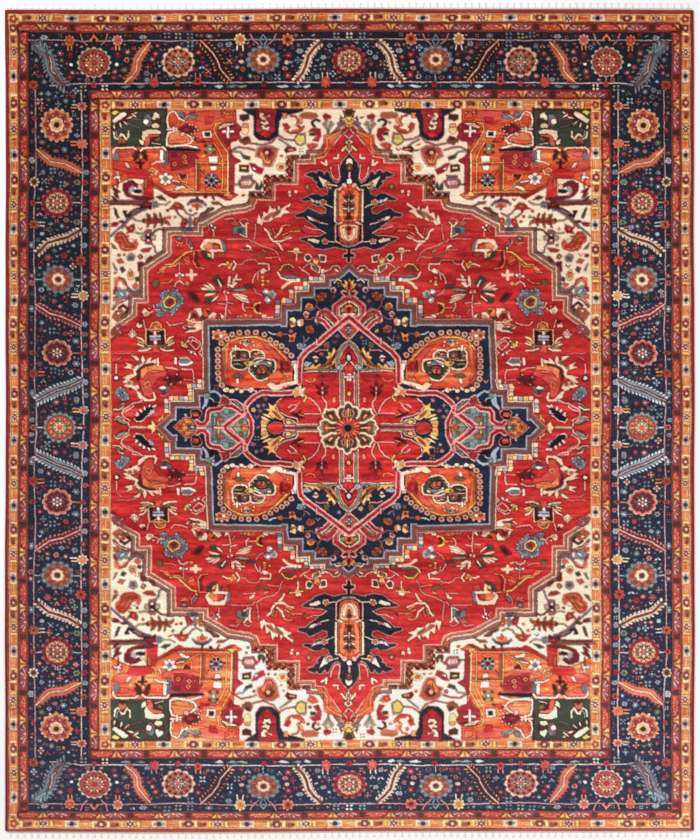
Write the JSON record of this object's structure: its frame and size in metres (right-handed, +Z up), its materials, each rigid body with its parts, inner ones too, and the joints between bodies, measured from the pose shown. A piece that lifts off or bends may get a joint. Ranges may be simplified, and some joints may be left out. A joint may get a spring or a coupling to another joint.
{
  "type": "area rug",
  "caption": "Rectangular hand-knotted wool area rug with a stepped medallion field, patterned borders, bound long edges and short fringed ends; lies flat on a floor.",
  "frame": {"origin": "middle of the underside, under the centre of the rug's outline, on the floor", "axes": "+X across the width, +Y along the length towards the head end, +Z up out of the pile"},
  "size_m": [2.458, 2.9812, 0.011],
  "materials": {
    "cotton_ground": "off-white cotton, plain weave",
    "cotton_fringe": "off-white cotton yarn, cut ends",
    "wool_edge_red": "dark madder wool",
    "wool_guard_gold": "camel gold wool pile, small flower repeats",
    "wool_stripe_red": "red wool pile with chevron repeats",
    "wool_border_navy": "deep navy wool pile, abrash",
    "wool_corner_orange": "orange rust wool pile",
    "wool_spandrel_ivory": "ivory wool pile",
    "wool_field_red": "madder red wool pile, abrash"
  },
  "bodies": {
    "rug": {"ground_weave": "cotton_ground", "edge_band_head": "wool_edge_red", "edge_band_foot": "wool_edge_red", "edge_band_left": "wool_edge_red", "edge_band_right": "wool_edge_red", "outer_guard_head": "wool_guard_gold", "outer_guard_foot": "wool_guard_gold", "outer_guard_left": "wool_guard_gold", "outer_guard_right": "wool_guard_gold", "outer_stripe_head": "wool_stripe_red", "outer_stripe_foot": "wool_stripe_red", "outer_stripe_left": "wool_stripe_red", "outer_stripe_right": "wool_stripe_red", "main_border_head": "wool_border_navy", "main_border_foot": "wool_border_navy", "main_border_left": "wool_border_navy", "main_border_right": "wool_border_navy", "inner_stripe_head": "wool_stripe_red", "inner_stripe_foot": "wool_stripe_red", "inner_stripe_left": "wool_stripe_red", "inner_stripe_right": "wool_stripe_red", "inner_guard_head": "wool_guard_gold", "inner_guard_foot": "wool_guard_gold", "inner_guard_left": "wool_guard_gold", "inner_guard_right": "wool_guard_gold", "corner_head_left": "wool_corner_orange", "spandrel_head_left": "wool_spandrel_ivory", "field_ground_head_left": "wool_field_red", "corner_head_right": "wool_corner_orange", "spandrel_head_right": "wool_spandrel_ivory", "field_ground_head_right": "wool_field_red", "corner_foot_left": "wool_corner_orange", "spandrel_foot_left": "wool_spandrel_ivory", "field_ground_foot_left": "wool_field_red", "corner_foot_right": "wool_corner_orange", "spandrel_foot_right": "wool_spandrel_ivory", "field_ground_foot_right": "wool_field_red", "pendant_head": "wool_border_navy", "pendant_foot": "wool_border_navy", "medallion": "wool_border_navy", "selvedge_cord_left": "cotton_ground", "selvedge_wrap_left": "wool_edge_red", "selvedge_cord_right": "cotton_ground", "selvedge_wrap_right": "wool_edge_red", "kilim_end_head": "cotton_ground", "end_knots_head": "cotton_fringe", "kilim_end_foot": "cotton_ground", "end_knots_foot": "cotton_fringe"},
    "head_fringe": {"fringe_head": "cotton_fringe"},
    "foot_fringe": {"fringe_foot": "cotton_fringe"}
  },
  "joints": [
    {"name": "head_fringe_bend", "type": "hinge", "parent": "rug", "child": "head_fringe", "pos_m": [0, 1.47542, 0.003], "axis": [1, 0, 0], "range_deg": [0, 130]},
    {"name": "foot_fringe_bend", "type": "hinge", "parent": "rug", "child": "foot_fringe", "pos_m": [0, -1.47542, 0.003], "axis": [-1, 0, 0], "range_deg": [0, 130]}
  ]
}
